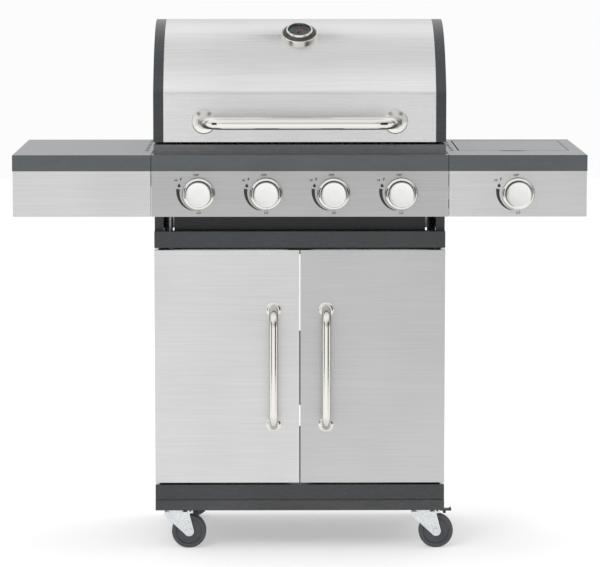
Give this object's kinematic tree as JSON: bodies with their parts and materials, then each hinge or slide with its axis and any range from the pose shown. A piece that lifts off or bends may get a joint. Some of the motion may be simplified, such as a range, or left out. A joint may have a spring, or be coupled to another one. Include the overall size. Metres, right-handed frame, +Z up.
{
  "type": "gas barbecue grill",
  "caption": "Free-standing gas barbecue grill with a hinged hood, steel control panel, side tables, a flush-lidded side burner and a two-door cart on swivel casters.",
  "frame": {"origin": "on the floor, below the middle of the grill", "axes": "+Z up, the front with the knobs and doors faces -Y, +X to the right seen from the front"},
  "size_m": [1.25, 0.502, 1.16],
  "materials": {
    "graphite_powder_coat": "satin",
    "shelf_powder_coat": "satin",
    "black_enamel": "satin",
    "brushed_stainless": "brushed",
    "polished_steel": "polished",
    "satin_knob": "satin",
    "stainless_burner": "satin",
    "cast_iron": "enamelled",
    "zinc": "bright zinc plate",
    "caster_plastic": "moulded",
    "black_plastic": "moulded",
    "brass": "machined",
    "gas_pipe": "satin",
    "nylon": "moulded",
    "galvanised": "galvanised",
    "dial_glass": "clear",
    "needle_red": "painted"
  },
  "bodies": {
    "cart": {"bottom_shelf": "shelf_powder_coat", "bottom_rail": "shelf_powder_coat", "top_rail": "graphite_powder_coat", "side_panels": "graphite_powder_coat", "rear_panel": "graphite_powder_coat", "rear_rail": "graphite_powder_coat", "heat_shield": "black_enamel", "firebox": "black_enamel", "main_burners": "stainless_burner", "flame_tamers": "stainless_burner", "cooking_grates": "cast_iron", "warming_rack": "stainless_burner", "gas_manifold": "gas_pipe", "gas_valves": "brass", "control_panel": "brushed_stainless", "panel_cap": "graphite_powder_coat", "knob_bezels": "polished_steel", "left_table_top": "graphite_powder_coat", "right_table_top": "graphite_powder_coat", "table_fascias": "brushed_stainless", "table_brackets": "graphite_powder_coat", "side_burner_bowl": "black_enamel", "side_burner": "stainless_burner", "pan_support": "cast_iron", "door_magnets": "black_plastic", "door_bushes": "nylon", "caster_plates": "zinc"},
    "hood": {"hood_shell": "brushed_stainless", "hood_end_caps": "graphite_powder_coat", "hood_handle": "polished_steel", "hood_hinge_pins": "zinc", "thermometer": "polished_steel", "thermometer_glass": "dial_glass"},
    "needle": {"thermometer_needle": "needle_red"},
    "door_left": {"left_door": "brushed_stainless", "left_door_handle": "polished_steel"},
    "door_right": {"right_door": "brushed_stainless", "right_door_handle": "polished_steel"},
    "burner_flap": {"side_burner_lid": "graphite_powder_coat"},
    "tray": {"grease_tray": "galvanised"},
    "spindle_1": {"spindle_1": "zinc"},
    "knob_1": {"knob_1": "satin_knob"},
    "spindle_2": {"spindle_2": "zinc"},
    "knob_2": {"knob_2": "satin_knob"},
    "spindle_3": {"spindle_3": "zinc"},
    "knob_3": {"knob_3": "satin_knob"},
    "spindle_4": {"spindle_4": "zinc"},
    "knob_4": {"knob_4": "satin_knob"},
    "spindle_side": {"side_spindle": "zinc"},
    "knob_side": {"side_knob": "satin_knob"},
    "front_left_caster": {"front_left_fork": "zinc"},
    "front_left_wheel": {"front_left_wheel": "caster_plastic"},
    "front_right_caster": {"front_right_fork": "zinc"},
    "front_right_wheel": {"front_right_wheel": "caster_plastic"},
    "rear_left_caster": {"rear_left_fork": "zinc"},
    "rear_left_wheel": {"rear_left_wheel": "caster_plastic"},
    "rear_right_caster": {"rear_right_fork": "zinc"},
    "rear_right_wheel": {"rear_right_wheel": "caster_plastic"},
    "left_pedal": {"left_brake_pedal": "black_plastic"},
    "right_pedal": {"right_brake_pedal": "black_plastic"}
  },
  "joints": [
    {"name": "hood_hinge", "type": "hinge", "parent": "cart", "child": "hood", "pos_m": [0, 0.238, 0.912], "axis": [-1, 0, 0], "range_deg": [0, 85]},
    {"name": "thermometer_needle_turn", "type": "hinge", "parent": "hood", "child": "needle", "pos_m": [0, -0.06619, 1.12592], "axis": [0, 0.5, -0.866], "range_deg": [0, 270], "stiffness_Nm_per_rad": 0.002},
    {"name": "door_left_hinge", "type": "hinge", "parent": "cart", "child": "door_left", "pos_m": [-0.313, -0.188, 0.4], "axis": [0, 0, -1], "range_deg": [0, 105]},
    {"name": "door_right_hinge", "type": "hinge", "parent": "cart", "child": "door_right", "pos_m": [0.313, -0.188, 0.4], "axis": [0, 0, 1], "range_deg": [0, 105]},
    {"name": "burner_flap_hinge", "type": "hinge", "parent": "cart", "child": "burner_flap", "pos_m": [0.474, 0.176, 0.866], "axis": [-1, 0, 0], "range_deg": [0, 95]},
    {"name": "grease_tray_slide", "type": "slide", "parent": "cart", "child": "tray", "axis": [0, 1, 0], "range_m": [0, 0.34]},
    {"name": "knob_1_push", "type": "slide", "parent": "cart", "child": "spindle_1", "axis": [0, 1, 0], "range_m": [0, 0.0035], "stiffness_N_per_m": 400},
    {"name": "knob_1_turn", "type": "hinge", "parent": "spindle_1", "child": "knob_1", "pos_m": [-0.2205, -0.24, 0.79025], "axis": [0, -1, 0], "range_deg": [0, 180]},
    {"name": "knob_2_push", "type": "slide", "parent": "cart", "child": "spindle_2", "axis": [0, 1, 0], "range_m": [0, 0.0035], "stiffness_N_per_m": 400},
    {"name": "knob_2_turn", "type": "hinge", "parent": "spindle_2", "child": "knob_2", "pos_m": [-0.0735, -0.24, 0.79025], "axis": [0, -1, 0], "range_deg": [0, 180]},
    {"name": "knob_3_push", "type": "slide", "parent": "cart", "child": "spindle_3", "axis": [0, 1, 0], "range_m": [0, 0.0035], "stiffness_N_per_m": 400},
    {"name": "knob_3_turn", "type": "hinge", "parent": "spindle_3", "child": "knob_3", "pos_m": [0.0735, -0.24, 0.79025], "axis": [0, -1, 0], "range_deg": [0, 180]},
    {"name": "knob_4_push", "type": "slide", "parent": "cart", "child": "spindle_4", "axis": [0, 1, 0], "range_m": [0, 0.0035], "stiffness_N_per_m": 400},
    {"name": "knob_4_turn", "type": "hinge", "parent": "spindle_4", "child": "knob_4", "pos_m": [0.2205, -0.24, 0.79025], "axis": [0, -1, 0], "range_deg": [0, 180]},
    {"name": "knob_side_push", "type": "slide", "parent": "cart", "child": "spindle_side", "axis": [0, 1, 0], "range_m": [0, 0.0035], "stiffness_N_per_m": 400},
    {"name": "knob_side_turn", "type": "hinge", "parent": "spindle_side", "child": "knob_side", "pos_m": [0.475, -0.24, 0.79025], "axis": [0, -1, 0], "range_deg": [0, 180]},
    {"name": "swivel_front_left", "type": "hinge", "parent": "cart", "child": "front_left_caster", "pos_m": [-0.273, -0.169, 0.08], "axis": [0, 0, 1], "continuous": true},
    {"name": "wheel_front_left", "type": "hinge", "parent": "front_left_caster", "child": "front_left_wheel", "pos_m": [-0.245, -0.169, 0.038], "axis": [0, 1, 0], "continuous": true},
    {"name": "swivel_front_right", "type": "hinge", "parent": "cart", "child": "front_right_caster", "pos_m": [0.273, -0.169, 0.08], "axis": [0, 0, 1], "continuous": true},
    {"name": "wheel_front_right", "type": "hinge", "parent": "front_right_caster", "child": "front_right_wheel", "pos_m": [0.301, -0.169, 0.038], "axis": [0, 1, 0], "continuous": true},
    {"name": "swivel_rear_left", "type": "hinge", "parent": "cart", "child": "rear_left_caster", "pos_m": [-0.273, 0.181, 0.08], "axis": [0, 0, 1], "continuous": true},
    {"name": "wheel_rear_left", "type": "hinge", "parent": "rear_left_caster", "child": "rear_left_wheel", "pos_m": [-0.245, 0.181, 0.038], "axis": [0, 1, 0], "continuous": true},
    {"name": "swivel_rear_right", "type": "hinge", "parent": "cart", "child": "rear_right_caster", "pos_m": [0.273, 0.181, 0.08], "axis": [0, 0, 1], "continuous": true},
    {"name": "wheel_rear_right", "type": "hinge", "parent": "rear_right_caster", "child": "rear_right_wheel", "pos_m": [0.301, 0.181, 0.038], "axis": [0, 1, 0], "continuous": true},
    {"name": "pedal_left", "type": "hinge", "parent": "front_left_caster", "child": "left_pedal", "pos_m": [-0.242, -0.169, 0.084], "axis": [0, 1, 0], "range_deg": [0, 12]},
    {"name": "pedal_right", "type": "hinge", "parent": "front_right_caster", "child": "right_pedal", "pos_m": [0.304, -0.169, 0.084], "axis": [0, 1, 0], "range_deg": [0, 12]}
  ]
}
